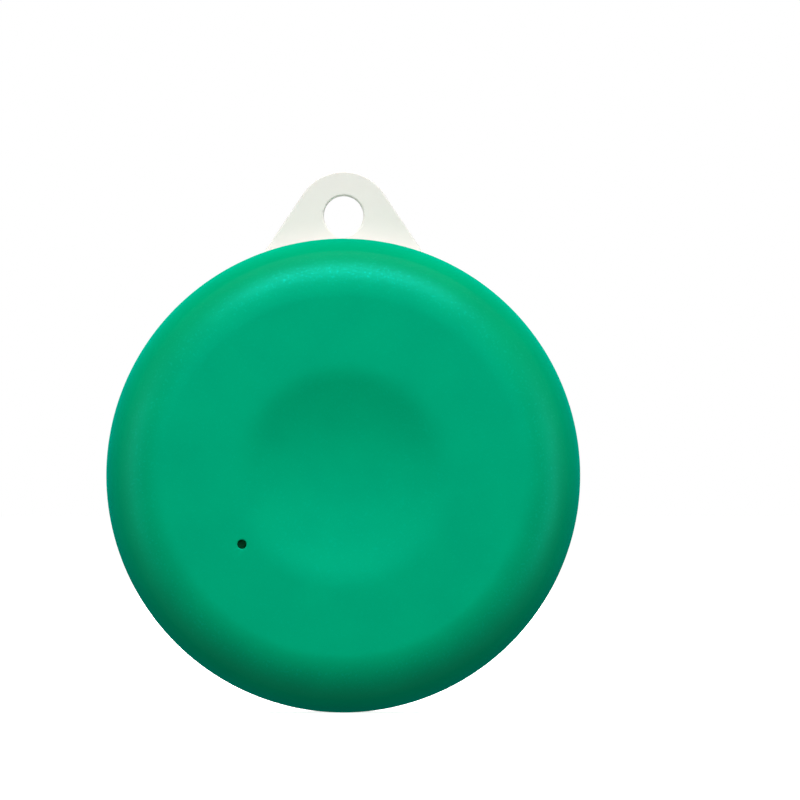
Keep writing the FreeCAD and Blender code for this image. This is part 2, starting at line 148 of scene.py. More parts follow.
class CoverSizes(bpy.types.PropertyGroup):
    """Sizes of the green front cover."""

    radius: length("Radius", "Radius of the round body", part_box("front_cover")[1].x / MM)
    depth: length("Depth", "Depth of the whole tag", -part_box("front_cover")[0].y / MM)
    wall: length("Wall", "Thickness of the cover's wall", 1.3)
    seam: length("Seam depth", "Depth at which the covers meet", 3.0)
    shoulder: length("Shoulder", "Radius of the rounded shoulder", 4.0)
    dish_radius: length("Dish radius", "Radius of the thumb dish", 7.8)
    dish_depth: length("Dish depth", "Depth of the thumb dish", 0.68)
    dish_skin: length("Dish skin", "Thickness of the cover under the dish", 0.75)
    dish_lip: length("Dish lip", "Width of the dish's rounded edge", 1.6)
    nub_radius: length("Nub radius", "Radius of the nub that presses the switch", 0.9)
    nub_height: length("Nub height", "Height of the nub that presses the switch", 0.7)
    vent_x: length("Vent X", "How far the vent is to the right of the middle", -6.8)
    vent_z: length("Vent Z", "How far the vent is above the middle", -4.6)
    vent_radius: length("Vent radius", "Radius of the vent hole", 0.31)
    vent_flare: length("Vent flare", "Width of the rounded mouth of the vent", 0.06)
    vent_well: length("Vent well", "Radius of the wide part behind the vent", 0.7)
    vent_land: length("Vent land", "Length of the narrow part of the vent", 0.7)
    boss_size: length("Boss size", "Width of the boss behind the vent", 4.2)
    boss_height: length("Boss height", "Height of the boss behind the vent", 0.6)
    rib_width: length("Rib width", "Width of a rib that the board rests on", 1.0)
    clip_width: length("Clip width", "Width of a board clip", 3.0)
    clip_thickness: length("Clip thickness", "Thickness of a board clip", 0.8)


class RearSizes(bpy.types.PropertyGroup):
    """Sizes of the white rear cover and its lug."""

    chamfer: length("Back chamfer", "Chamfer round the flat back", 0.9)
    floor: length("Floor", "Thickness of the floor", 1.2)
    lug_top: length("Lug top", "Height of the lug above the middle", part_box("rear_cover")[1].z / MM)
    lug_thickness: length("Lug thickness", "Thickness of the lug", 1.8)
    lug_tip: length("Lug tip radius", "Radius of the lug's round tip", 3.25)
    lug_flank: angle("Lug flank", "Slope of the lug's sides", 56.3)
    lug_fillet: length("Lug fillet", "Radius where the lug runs into the round back", 1.5)
    hole_radius: length("Hole radius", "Radius of the lanyard hole", 1.34)
    hole_drop: length("Hole drop", "How far the hole's middle is under the lug's top", 3.0)
    hole_round: length("Hole rounding", "Rounding of the hole's mouths", 0.15)
    spigot_clearance: length("Spigot clearance", "Gap from the spigot to the cover's bore", 0.12)
    spigot_wall: length("Spigot wall", "Thickness of the spigot", 1.2)
    spigot_height: length("Spigot height", "Height of the spigot above the seam", 1.5)
    spigot_sweep: angle("Spigot sweep", "Angle that one length of the spigot spans", 90)
    pocket_clearance: length("Pocket clearance", "Gap round the cell in its pocket", 0.15)
    pocket_wall: length("Pocket wall", "Thickness of the walls round the cell", 0.95)
    pocket_height: length("Pocket height", "Height of the walls round the cell", 2.9)
    pocket_sweep: angle("Pocket sweep", "Angle that one wall round the cell spans", 40)
    key_width: length("Key width", "Width of the key that turns the covers the right way round", 2.0)
    key_thickness: length("Key thickness", "Thickness of the key", 0.5)
    pry_width: length("Pry width", "Width of the slot for a nail", 5.0)
    pry_height: length("Pry height", "Height of the slot for a nail", 0.8)
    pry_reach: length("Pry reach", "Depth of the slot for a nail", 1.0)


class PartSizes(bpy.types.PropertyGroup):
    """Sizes of the cell, the board and the small parts that the frame doesn't give."""

    cell_edge: length("Cell edge", "Rounding of the cell's edges", 0.25)
    crown_radius: length("Crown radius", "Radius of the raised crown of the cell's cap", 8.8)
    leaf_sheet: length("Leaf sheet", "Thickness of the contacts' sheet", 0.2)
    leaf_foot: length("Leaf foot", "Length of a contact's soldered foot", 1.6)
    side_press: length("Side press", "Where the side contacts press, behind the board", 2.0)
    side_reach: length("Side reach", "How far the side contacts reach behind the board", 2.8)
    side_bow: length("Side bow", "How far the side contacts bow in to the cell", 0.55)
    long_foot: length("Long foot", "Height of the long contact's foot above the middle", 5.6)
    long_tail: length("Long tail", "Length of the long contact's turned-up end", 0.8)
    notch_width: length("Notch width", "Width of the board's notch", 1.9)
    notch_depth: length("Notch depth", "Depth of the board's notch", 1.2)
    via_radius: length("Via radius", "Radius of the masked ring of a via", 0.3)
    cap_end: length("End cap", "Length of a tinned end", 0.25)
    lead_width: length("Lead width", "Width of the radio's leads", 0.25)
    lead_pitch: length("Lead pitch", "Distance between the radio's leads", 0.5)
    window_radius: length("Window radius", "Radius of the humidity sensor's window", 0.55)
    window_depth: length("Window depth", "Depth of the humidity sensor's window", 0.2)
    well_radius: length("Well radius", "Radius of the switch's well", 1.6)
    well_depth: length("Well depth", "Depth of the switch's well", 0.45)
    switch_tab: length("Switch tab", "Width of the tabs of the switch's frame", 1.6)
    plunger_radius: length("Plunger radius", "Radius of the switch's plunger", 0.85)


class StageSettings(bpy.types.PropertyGroup):
    """Camera, lights and floor of the studio."""

    camera_distance: length("Camera distance", "How far the camera is in front of the back", 905.7)
    camera_x: length("Camera X", "How far the camera is to the right of the middle", 3.83)
    camera_z: length("Camera Z", "How far the camera is above the middle", 5.1)
    light_distance: length("Light distance", "How far the lights are from the tag", 500)
    floor_size: length("Floor size", "Width of the floor", 3000)
    lens: bpy.props.FloatProperty(name="Lens", description="Focal length", default=600, unit="CAMERA")
    ambient: bpy.props.FloatProperty(name="Ambient", description="Light of the room", default=0.21, min=0)
    floor_glow: bpy.props.FloatProperty(name="Glow", description="Glow of the floor", default=0.8, min=0)


class Finishes(bpy.types.PropertyGroup):
    """Colours of the tag's main surfaces."""

    cover: colour("Cover", "Green of the front cover", "008E5D")
    rear: colour("Rear cover", "White of the rear cover", "D4D1CC")
    mask: colour("Solder mask", "Colour of the board", "0B5A3A")


def sizes():
    """Sizes of the cover, of the rear cover and of the parts."""
    scene = bpy.context.scene
    return scene.tag_cover, scene.tag_rear, scene.tag_parts


def bare_selection():
    """Object mode with nothing selected."""
    if bpy.context.mode != "OBJECT":
        bpy.ops.object.mode_set(mode="OBJECT")
    bpy.ops.object.select_all(action="DESELECT")


def select_only(piece):
    """Object mode with only this piece selected, and active."""
    bare_selection()
    piece.select_set(True)
    bpy.context.view_layer.objects.active = piece


def arc(centre, radius, start, end, count):
    """Points of an arc in (radius, depth) or (x, z), from one angle in degrees to the other."""
    angles = [math.radians(start + (end - start) * i / count) for i in range(count + 1)]
    return [(centre[0] + radius * math.cos(a), centre[1] + radius * math.sin(a)) for a in angles]


def added(name):
    """The object that an operator has just added, named."""
    piece = bpy.context.object
    piece.name = piece.data.name = name
    return piece


def drawn(name, points, closed):
    """Line of edges from point to point, left in edit mode with all of it selected."""
    bare_selection()
    bpy.ops.mesh.primitive_plane_add(size=MM, location=points[0])
    piece = added(name)
    bpy.ops.object.transform_apply()
    bpy.ops.object.mode_set(mode="EDIT")
    bpy.ops.mesh.select_all(action="SELECT")
    bpy.ops.mesh.merge(type="CENTER")
    route = [*points, points[0]] if closed else points
    for last, point in zip(route, route[1:]):
        bpy.ops.mesh.extrude_region_move(TRANSFORM_OT_translate={"value": point - last})
    bpy.ops.mesh.select_all(action="SELECT")
    bpy.ops.mesh.remove_doubles(threshold=SAME_PLACE)
    return piece


def close_up(piece):
    """Merges doubles, turns the faces outwards and leaves edit mode."""
    if bpy.context.mode == "OBJECT":
        select_only(piece)
        bpy.ops.object.mode_set(mode="EDIT")
    bpy.ops.mesh.select_all(action="SELECT")
    bpy.ops.mesh.remove_doubles(threshold=SAME_PLACE)
    bpy.ops.mesh.normals_make_consistent(inside=False)
    bpy.ops.object.mode_set(mode="OBJECT")
    return piece


def turned(name, profile, centre=(0.0, 0.0), start=0.0, sweep=360.0, segments=FINE):
    """Piece spun about the line along Y at centre (x, z), from a profile of (radius, depth) points."""
    start = math.radians(start)
    across = Vector((math.cos(start), 0, math.sin(start)))
    middle = Vector((centre[0], 0, centre[1]))
    points = [middle + across * radius + FORWARD * depth for radius, depth in profile]
    meets_axis = profile[0][0] == 0 and profile[-1][0] == 0
    piece = drawn(name, points, closed=not meets_axis)
    bpy.ops.mesh.spin(steps=segments, angle=math.radians(sweep), center=middle, axis=(0, 1, 0))
    if sweep < 360:
        bpy.ops.mesh.select_all(action="DESELECT")
        bpy.ops.mesh.select_non_manifold(use_wire=False, use_multi_face=False, use_verts=False)
        bpy.ops.mesh.edge_face_add()
    return close_up(piece)


def prism(name, outline, along):
    """Closed outline through points, filled and extruded along a vector."""
    piece = drawn(name, outline, closed=True)
    bpy.ops.mesh.edge_face_add()
    bpy.ops.mesh.extrude_region_move(TRANSFORM_OT_translate={"value": along})
    return close_up(piece)


def fin(name, outline, width, degrees=0.0):
    """Radial piece from an outline of (radius, depth) points, turned to its place about the tag's axis."""
    points = [Vector((radius, -depth, -width / 2)) for radius, depth in outline]
    return placed(prism(name, points, UP * width), degrees=degrees)


def block(name, width, height, back, front, x=0.0, z=0.0):
    """Box centred on (x, z), between two depths."""
    bare_selection()
    bpy.ops.mesh.primitive_cube_add(size=1, location=(x, -(back + front) / 2, z))
    piece = added(name)
    piece.scale = (width, front - back, height)
    bpy.ops.object.transform_apply()
    return piece


def strip(name, path, bend, width, across, along, middle):
    """Bent strip of sheet metal, whose middle follows (across, depth) points."""
    sheet = bpy.context.scene.tag_parts.leaf_sheet
    points = [across * u + FORWARD * depth + middle - along * width / 2 for u, depth in path]
    piece = drawn(name, points, closed=False)
    bpy.ops.mesh.select_all(action="DESELECT")
    bpy.ops.object.mode_set(mode="OBJECT")
    for vertex in piece.data.vertices:
        vertex.select = any((vertex.co - point).length < SAME_PLACE for point in points[1:-1])
    bpy.ops.object.mode_set(mode="EDIT")
    bpy.ops.mesh.bevel(offset=bend, segments=8, affect="VERTICES")
    bpy.ops.mesh.select_all(action="SELECT")
    bpy.ops.mesh.extrude_region_move(TRANSFORM_OT_translate={"value": along * width})
    close_up(piece)
    apply_modifier(piece, "SOLIDIFY", thickness=sheet, offset=0, use_even_offset=True)
    rounded_edges(piece, sheet / 6)
    return close_up(piece)


def placed(piece, offset=(0, 0, 0), degrees=0.0):
    """Turns the piece about the tag's axis, anticlockwise as seen from the front, and moves its mesh."""
    select_only(piece)
    piece.rotation_euler = (0, -math.radians(degrees), 0)
    bpy.ops.transform.translate(value=offset)
    bpy.ops.object.transform_apply()
    return piece


def copied(piece, name):
    """Copy with a mesh of its own."""
    select_only(piece)
    bpy.ops.object.duplicate()
    return added(name)


def apply_modifier(piece, kind, **settings):
    """Adds a modifier of a kind to the piece and applies it."""
    select_only(piece)
    modifier = piece.modifiers.new(kind.title(), kind)
    for key, value in settings.items():
        setattr(modifier, key, value)
    bpy.ops.object.modifier_apply(modifier=modifier.name)


def combined(piece, others, operation):
    """Unites the piece with others or cuts them out of it, and removes them."""
    for other in others:
        apply_modifier(piece, "BOOLEAN", object=other, operation=operation, solver="EXACT")
        bpy.data.objects.remove(other)
    return close_up(piece)


def rounded_edges(piece, width, segments=2, limit=50.0):
    """Bevels the piece's sharp edges."""
    apply_modifier(
        piece, "BEVEL", width=width, segments=segments, limit_method="ANGLE", angle_limit=math.radians(limit)
    )
    return piece


def coated(piece, material):
    """Gives the piece one material, or a stuff by its name."""
    piece.data.materials.clear()
    piece.data.materials.append(stuff(material) if isinstance(material, str) else material)
    return piece


def joined(name, pieces):
    """One piece from several, each keeping its material."""
    select_only(pieces[0])
    for piece in pieces[1:]:
        piece.select_set(True)
    bpy.ops.object.join()
    pieces[0].name = pieces[0].data.name = name
    return pieces[0]


def finished(piece, material, slot, body="front_shell", replaces=True):
    """Coats and smooths the piece, hides the node whose place it takes, and hangs it on the body that it
    rides on.
    """
    if material:
        coated(piece, material)
    select_only(piece)
    bpy.ops.object.shade_smooth_by_angle(angle=math.radians(SMOOTH_ANGLE))
    apply_modifier(piece, "WEIGHTED_NORMAL", keep_sharp=True, weight=50)
    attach(piece, body)
    if replaces:
        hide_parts(slot)
    return piece


def extent(node):
    """Width, height, back depth, front depth and middle (x, z) of a node, or of a (low, high) box."""
    low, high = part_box(node) if isinstance(node, str) else node
    return high.x - low.x, high.z - low.z, -high.y, -low.y, (low.x + high.x) / 2, (low.z + high.z) / 2


def islands(name):
    """Boxes of the separate solids in a node, as (low, high) corners."""
    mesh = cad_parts[name].data
    spots = [tuple(round(c / SAME_PLACE) for c in vertex.co) for vertex in mesh.vertices]
    groups = []
    for polygon in mesh.polygons:
        corners = {spots[i] for i in polygon.vertices}
        apart = [group for group in groups if not group & corners]
        groups = apart + [corners.union(*(group for group in groups if group & corners))]
    boxes = [[Vector(map(pick, zip(*group))) * SAME_PLACE for pick in (min, max)] for group in groups]
    return sorted(boxes, key=lambda box: (round(box[0].x / MM, 2), round(box[0].z / MM, 2)))


def add_node(tree, kind, inputs=(), **settings):
    """Adds a node with its settings and inputs. An input, by name or in order, is a value, an output, or
    a node for its first output. Map Range takes in order a value, its span and the span that it gets."""
    made = tree.nodes.new(kind)
    for key, value in settings.items():
        setattr(made, key, value)
    for key, value in inputs.items() if isinstance(inputs, dict) else enumerate(inputs):
        if isinstance(value, bpy.types.Node):
            value = value.outputs[0]
        if isinstance(value, bpy.types.NodeSocket):
            tree.links.new(value, made.inputs[key])
        else:
            made.inputs[key].default_value = value
    return made


def grain(tree, size_mm, stretch=(1, 1, 1), detail=2.0):
    """Cloudy pattern whose grains are about size_mm across, drawn out by stretch."""
    place = add_node(tree, "ShaderNodeTexCoord").outputs["Object"]
    scale = [1 / (size_mm * MM * s) for s in stretch]
    place = add_node(tree, "ShaderNodeMapping", {"Vector": place, "Scale": scale})
    return add_node(tree, "ShaderNodeTexNoise", {"Vector": place, "Scale": 1.0, "Detail": detail})


def mottled(tree, pattern, first, second, low=0.3, high=0.7):
    """Colour that runs from first to second as the pattern goes from low to high."""
    share = add_node(tree, "ShaderNodeMapRange", [pattern, low, high])
    return add_node(tree, "ShaderNodeMix", {0: share, 6: first, 7: second}, data_type="RGBA").outputs[2]


def shade(tint, share):
    """The same colour, darker or lighter by a share."""
    return tuple(min(1.0, c * share) for c in tint[:3]) + (1.0,)


def bare_tree(owner):
    """Emptied node tree of a new material or world."""
    owner.use_nodes = True
    owner.node_tree.nodes.clear()
    return owner.node_tree


def coating(material, values, relief):
    """Finishes a material from its Principled inputs and a relief of (pattern, strength, height in mm)."""
    tree = material.node_tree
    pattern, strength, height = relief
    bump = {"Height": pattern, "Strength": strength, "Distance": height * MM}
    values["Normal"] = add_node(tree, "ShaderNodeBump", bump)
    add_node(tree, "ShaderNodeOutputMaterial", [add_node(tree, "ShaderNodeBsdfPrincipled", values)])
    return material


def spark_eroded_abs():
    """ABS moulded in a spark-eroded tool: an even matt skin whose fine pits glint where light grazes them."""
    green = bpy.context.scene.tag_finishes.cover
    material = bpy.data.materials.new("spark_eroded_abs")
    tree = bare_tree(material)
    # Where the eye grazes the skin, its pits hide the white glare and show their own green as a sheen
    graze = add_node(tree, "ShaderNodeLayerWeight", {"Blend": 0.5}).outputs["Facing"]
    fade = [graze, 0.0, 0.42, 0.5, 0.0]
    gloss = add_node(tree, "ShaderNodeMapRange", fade, interpolation_type="SMOOTHSTEP")
    # Single pits catch the light as flecks of about 0.1 mm, the more so on the slope of the shoulder
    glint = add_node(tree, "ShaderNodeMapRange", [graze, 0.0, 0.08, 1.3, 2.1])
    fleck = add_node(tree, "ShaderNodeMapRange", [grain(tree, 0.15, detail=0.0), 0.62, 0.76, 1.0, glint])
    values = {
        "Specular IOR Level": add_node(tree, "ShaderNodeMath", [gloss, fleck], operation="MULTIPLY"),
        "Base Color": mottled(tree, grain(tree, 3.0), shade(green, 0.97), shade(green, 1.03)),
        "Roughness": add_node(tree, "ShaderNodeMapRange", [grain(tree, 0.16), 0.35, 0.65, 0.34, 0.46]),
        "IOR": 1.54,
        "Specular Tint": linear("00FFFF"),
        "Sheen Weight": 0.25,
        "Sheen Roughness": 0.5,
        "Sheen Tint": linear("00FFFF"),
    }
    # Pits of about 0.05 mm would be finer than a pixel, so they are drawn at 0.16 mm
    return coating(material, values, (grain(tree, 0.16, detail=1.0), 0.2, 0.02))


def satin_abs():
    """White ABS from a stoned tool: satin, with light that runs a little way into its thin edges."""
    white = bpy.context.scene.tag_finishes.rear
    material = bpy.data.materials.new("satin_abs")
    tree = bare_tree(material)
    values = {
        "Base Color": mottled(tree, grain(tree, 4.0), shade(white, 0.98), shade(white, 1.01)),
        "Roughness": 0.42,
        "IOR": 1.54,
        "Subsurface Weight": 0.2,
        "Subsurface Radius": (1.0, 0.9, 0.8),
        "Subsurface Scale": 0.3 * MM,
    }
    return coating(material, values, (grain(tree, 0.1), 0.12, 0.01))


def solder_mask():
    """Epoxy ink over etched copper: glossy, lighter where copper lies under it, raised along the tracks."""
    green = bpy.context.scene.tag_finishes.mask
    material = bpy.data.materials.new("solder_mask")
    tree = bare_tree(material)
    # Tracks 0.2 mm wide and 0.6 mm apart run in squares round points about 4 mm apart
    place = add_node(tree, "ShaderNodeTexCoord").outputs["Object"]
    cell = {"Vector": place, "Scale": 1 / (4.2 * MM), "Randomness": 0.9}
    reach = add_node(tree, "ShaderNodeTexVoronoi", cell, feature="F1", distance="CHEBYCHEV")
    wave = add_node(tree, "ShaderNodeMath", [reach, 0.07], operation="PINGPONG")
    track = mottled(tree, wave, shade(green, 1.5), shade(green, 0.75), 0.02, 0.03)
    values = {
        "Base Color": mottled(tree, grain(tree, 4.0, detail=0.0), shade(green, 1.25), track, 0.49, 0.5),
        "Roughness": 0.28,
        "IOR": 1.55,
        "Coat Weight": 0.4,
        "Coat Roughness": 0.12,
    }
    return coating(material, values, (track, 0.2, 0.02))


def drawn_nickel_plate(middle):
    """Nickel over drawn steel, tumbled: silvery, with fine scratches in rings round the middle."""
    material = bpy.data.materials.new("drawn_nickel_plate")
    tree = bare_tree(material)
    place = add_node(tree, "ShaderNodeTexCoord").outputs["Object"]
    place = add_node(tree, "ShaderNodeVectorMath", [place, middle], operation="SUBTRACT")
    parts = add_node(tree, "ShaderNodeSeparateXYZ", [place]).outputs
    flat = add_node(tree, "ShaderNodeCombineXYZ", {"X": parts["X"], "Z": parts["Z"]})
    reach = add_node(tree, "ShaderNodeVectorMath", [flat], operation="LENGTH").outputs["Value"]
    place = add_node(tree, "ShaderNodeCombineXYZ", [reach, parts["Y"]])
    # Scratches 0.06 mm apart
    scale = 1 / (0.06 * MM)
    lines = add_node(tree, "ShaderNodeTexNoise", {"Vector": place, "Scale": scale, "Detail": 2.0})
    values = {
        "Base Color": mottled(tree, grain(tree, 2.0), linear("BEBEC0"), linear("C8C8CA")),
        "Metallic": 1.0,
        "Roughness": add_node(tree, "ShaderNodeMapRange", [lines, 0.3, 0.7, 0.24, 0.36]),
    }
    return coating(material, values, (lines, 0.12, 0.01))


def backlit_paper():
    """Sheet of paper lit from behind: white all over, with a faint shadow where the tag stands."""
    material = bpy.data.materials.new("backlit_paper")
    tree = bare_tree(material)
    values = {
        "Base Color": mottled(tree, grain(tree, 2.0), linear("FAFAFA"), linear("FFFFFF")),
        "Roughness": 0.9,
        "Emission Color": linear("FFFFFF"),
        "Emission Strength": bpy.context.scene.tag_stage.floor_glow,
    }
    return coating(material, values, (grain(tree, 0.4), 0.05, 0.02))


METAL = {"Metallic": 1.0}
WAXY = {"IOR": 1.53, "Subsurface Weight": 0.3, "Subsurface Scale": 0.3 * MM}

# Colour, roughness, grain in mm, its stretch, relief, unevenness of the colour, and other inputs
STUFFS = {
    # Nickel-plated strip, rolled: fine lines along it
    "rolled_nickel_strip": ("C8C2B4", 0.27, 0.05, 0.15, 0.06, METAL, (1, 1, 14)),
    # Seam-welded lid, plated: pale and satin
    "plated_kovar": ("CFCBBE", 0.25, 0.1, 0.1, 0.04, METAL),
    # Gold flashed over nickel and copper: warm, with the copper's fine grain
    "flash_gold": ("E3B65C", 0.28, 0.1, 0.15, 0.06, METAL),
    # Etched copper under clear lacquer: brown-red and smooth
    "lacquered_copper": ("B4703C", 0.34, 0.12, 0.2, 0.08, METAL),
    # Hot-dipped tin: bright grey with soft ripples
    "dipped_tin": ("C9C8C4", 0.26, 0.25, 0.35, 0.06, METAL),
    # Hardened spring strip, etched: pale and almost mirror-bright
    "etched_spring_steel": ("C4BFB2", 0.2, 0.05, 0.1, 0.04, METAL, (10, 1, 1)),
    # Rolled stainless sheet, stamped: grey, with the roller's lines along it
    "stamped_stainless": ("B9B9BA", 0.3, 0.05, 0.15, 0.05, METAL, (12, 1, 1)),
    # Routed edge of glass cloth in epoxy: straw, with pale lines of thread along it
    "routed_glass_epoxy": ("C2B67C", 0.6, 0.12, 0.4, 0.2, {"IOR": 1.55}, (8, 1, 8)),
    # Epoxy filled with silica, transfer moulded: near black, matt and finely pitted
    "moulded_epoxy": ("1D1D1F", 0.55, 0.07, 0.3, 0.2, {"IOR": 1.55}),
    # Barium titanate, fired: tan ceramic with a slight glaze
    "fired_titanate": ("9C7A55", 0.4, 0.15, 0.15, 0.08, {"IOR": 1.6}),
    # Alumina, fired: dense chalk-white ceramic
    "fired_alumina": ("E9E6DC", 0.5, 0.1, 0.1, 0.03, {"IOR": 1.6}),
    # Black glass fired over the resistor: glossy and slightly wavy
    "fired_glaze": ("101012", 0.15, 0.3, 0.15, 0.1, {"IOR": 1.52}),
    # Ferrite, sintered: dark grey with a dull metallic fleck
    "sintered_ferrite": ("3B3B3E", 0.5, 0.08, 0.3, 0.25, {"IOR": 1.7}),
    # Clear epoxy cast over the lamp's phosphor: glossy, with yellow light through it
    "cast_epoxy": ("F3DF9A", 0.12, 0.5, 0.03, 0.02, {"IOR": 1.5, "Transmission Weight": 0.35}),
    # Liquid crystal polymer, moulded: black with faint flow marks
    "moulded_polymer": ("181818", 0.45, 0.3, 0.15, 0.2, {"IOR": 1.6}, (3, 1, 1)),
    # Polyamide, moulded: milky and waxy
    "moulded_polyamide": ("E4E2D6", 0.38, 0.2, 0.1, 0.02, WAXY),
    # Polypropylene, moulded: grey-white and waxy
    "moulded_polypropylene": ("BFC0BA", 0.45, 0.3, 0.08, 0.02, WAXY),
    # Closed-cell foam, die-cut: black, with open pores at its cut faces
    "cut_foam": ("232323", 0.95, 0.12, 0.9, 0.35, {"IOR": 1.45}),
    # Fluoropolymer film, stretched: its light green is painted bounce light from the vent's green walls, dull
    # and faintly fibrous
    "film_painted_green_bounce": ("2FDC90", 0.8, 0.05, 0.2, 0.02, {"IOR": 1.38}, (4, 1, 1)),
    # Manganese dioxide, pressed: black and grainy
    "pressed_powder": ("171717", 0.9, 0.1, 0.6, 0.3, {"IOR": 1.5}),
}


def stuff(name):
    """Material of one kind, from its row in the table; made once."""
    if name in bpy.data.materials:
        return bpy.data.materials[name]
    code, roughness, size_mm, relief, uneven, others, *stretch = STUFFS[name]
    base, material = linear(code), bpy.data.materials.new(name)
    tree = bare_tree(material)
    pattern = grain(tree, size_mm, *stretch)
    tint = mottled(tree, pattern, shade(base, 1 - uneven), shade(base, 1 + uneven))
    return coating(material, {"Base Color": tint, "Roughness": roughness, **others}, (pattern, relief, 0.02))


def inner_face():
    """Depth of the cover's flat inner face."""
    cover, _, _ = sizes()
    return cover.depth - cover.dish_depth - cover.dish_skin


def mouth(radius, level, edge, steps):
    """End of a hole's profile: its rounded mouth at a level, and on past it to the axis."""
    rim = arc((radius + edge, level - edge), edge, 180, 90, steps)
    return rim + [(radius + edge, level + edge), (0, level + edge)]


def vent_cutter():
    """Narrow hole with a rounded mouth, over a wider well."""
    cover, _, _ = sizes()
    start, land = inner_face() - cover.boss_height - cover.vent_flare, cover.depth - cover.vent_land
    profile = [(0, start), (cover.vent_well, start), (cover.vent_well, land), (cover.vent_radius, land)]
    profile += mouth(cover.vent_radius, cover.depth, cover.vent_flare, 5)
    return turned("vent_cutter", profile, centre=(cover.vent_x, cover.vent_z), segments=SMALL)


def make_cover_skin():
    """Dished front, shoulder, wall and inner room of the cover, with the vent through it."""
    cover, _, _ = sizes()
    radius, depth, shoulder, dish = cover.radius, cover.depth, cover.shoulder, cover.dish_radius
    bore, face, edge = radius - cover.wall, inner_face(), SEAM_ROUND
    slope = 2 * math.atan(cover.dish_depth / dish)
    lip, bowl = cover.dish_lip / math.sin(slope), (dish - cover.dish_lip) / math.sin(slope)
    steep = math.degrees(slope)
    profile = arc((0, depth - cover.dish_depth + bowl), bowl, -90, -90 + steep, 10)
    profile += arc((dish, depth - lip), lip, 90 + steep, 90, 6)[1:]
    profile += [(dish + (radius - shoulder - dish) * i / 3, depth) for i in (1, 2)]
    profile += arc((radius - shoulder, depth - shoulder), shoulder, 90, 0, 24)
    profile += arc((radius - edge, cover.seam + edge), edge, 0, -90, 4)
    profile += [(bore, cover.seam), (bore, face - INNER_CHAMFER), (bore - INNER_CHAMFER, face), (0, face)]
    return combined(turned("cover_skin", profile), [vent_cutter()], "DIFFERENCE")


def fitted_to_room(inner, back):
    """Outline of (radius, depth) points from an inner radius to the bore, under the room's chamfer."""
    cover, _, _ = sizes()
    bore, top = cover.radius - cover.wall, inner_face()
    outline = [(inner, back), (bore + ROOT, back), (bore + ROOT, top - INNER_CHAMFER)]
    return outline + [(bore - INNER_CHAMFER, top + ROOT), (inner, top + ROOT)]


def make_board_clip(name, degrees):
    """Springy arm with a hook that snaps over the board's rear edge."""
    cover, _, _ = sizes()
    width, _, back, _, _, _ = extent("circuit_board")
    top, turn = inner_face() + ROOT, CLIP_ROUND
    inner, hook = width / 2 + CLIP_GAP, width / 2 - CLIP_HOOK
    outer, catch = inner + cover.clip_thickness, back - CLIP_PLAY
    tip, room = catch - CLIP_HOOK_HEIGHT, cover.radius - cover.wall - INNER_CHAMFER
    outline = [(inner, catch)] + arc((hook + turn, catch - turn), turn, 90, 180, 4)
    outline += [(inner + turn / 2, tip)] + arc((outer - turn, tip + turn), turn, -90, 0, 4)
    outline += [(outer, top + room - outer), (room, top), (inner, top)]
    return rounded_edges(fin(name, outline, cover.clip_width, degrees), turn / 3, segments=1, limit=70)


def make_cover_features():
    """Ribs, clips, key, boss and nub that stand on the cover's inner wall."""
    cover, rear, parts = sizes()
    width, _, back, front, _, _ = extent("circuit_board")
    face, size, nub, edge = inner_face(), cover.boss_size, cover.nub_radius, CLIP_ROUND
    outline = fitted_to_room(width / 2 - RIB_BITE, front)
    rib = rounded_edges(fin("cover_rib_1", outline, cover.rib_width, RIB_ANGLES[0]), ROOT)
    made = [rib]
    for i, degrees in enumerate(RIB_ANGLES[1:], 2):
        made.append(placed(copied(rib, f"cover_rib_{i}"), degrees=degrees))
    made += [make_board_clip(f"board_clip_{i}", degrees) for i, degrees in enumerate(CLIP_ANGLES, 1)]
    outline = fitted_to_room(width / 2 - parts.notch_depth + CLIP_GAP, back)
    key = fin("board_key", outline, parts.notch_width - 2 * CLIP_GAP, BOARD_KEY_ANGLE)
    made.append(rounded_edges(key, ROOT))
    boss = block("vent_boss", size, size, face - cover.boss_height, face + ROOT, cover.vent_x, cover.vent_z)
    made.append(combined(rounded_edges(boss, ROOT), [vent_cutter()], "DIFFERENCE"))
    tip = face - cover.nub_height
    profile = [(0, tip)] + arc((nub - edge, tip + edge), edge, -90, 0, 4)
    made.append(turned("dish_nub", profile + [(nub, face + ROOT), (0, face + ROOT)], segments=SMALL))
    wide, high, middle = rear.key_width, rear.key_thickness, cover.radius - cover.wall / 2
    key = block("rim_key", wide, high, cover.seam - KEY_REACH, cover.seam + ROOT, z=middle)
    return made + [rounded_edges(key, ROOT)]


def lug_outline():
    """Round tip, straight flanks and a fillet on each side, in (x, z)."""
    cover, rear, _ = sizes()
    side, fillet = rear.lug_flank, rear.lug_fillet
    normal, down = (math.sin(side), math.cos(side)), (math.cos(side), -math.sin(side))
    tip = (0, rear.lug_top - rear.lug_tip)
    out = tip[1] * normal[1] + rear.lug_tip + fillet
    along = math.sqrt((cover.radius - LUG_SINK + fillet) ** 2 - out**2)
    centre = [n * out - d * along for n, d in zip(normal, down)]
    inward = [-c / math.hypot(*centre) for c in centre]
    sunk = tuple(c + i * (fillet + LUG_OVERLAP) for c, i in zip(centre, inward))
    flank = math.degrees(math.atan2(normal[1], normal[0]))
    facing_body = math.degrees(math.atan2(inward[1], inward[0])) + 360
    right = [sunk] + arc(centre, fillet, facing_body, flank + 180, 10) + arc(tip, rear.lug_tip, flank, 90, 12)
    return right + [(-x, z) for x, z in right[-2::-1]]


def lug_hole():
    """Cutter for the lanyard hole, with rounded mouths."""
    _, rear, _ = sizes()
    radius, edge = rear.hole_radius, rear.hole_round
    profile = [(0, -edge), (radius + edge, -edge)] + arc((radius + edge, edge), edge, 270, 180, 5)
    profile += mouth(radius, rear.lug_thickness, edge, 5)
    return turned("lug_hole", profile, centre=(0, rear.lug_top - rear.hole_drop), segments=2 * SMALL)


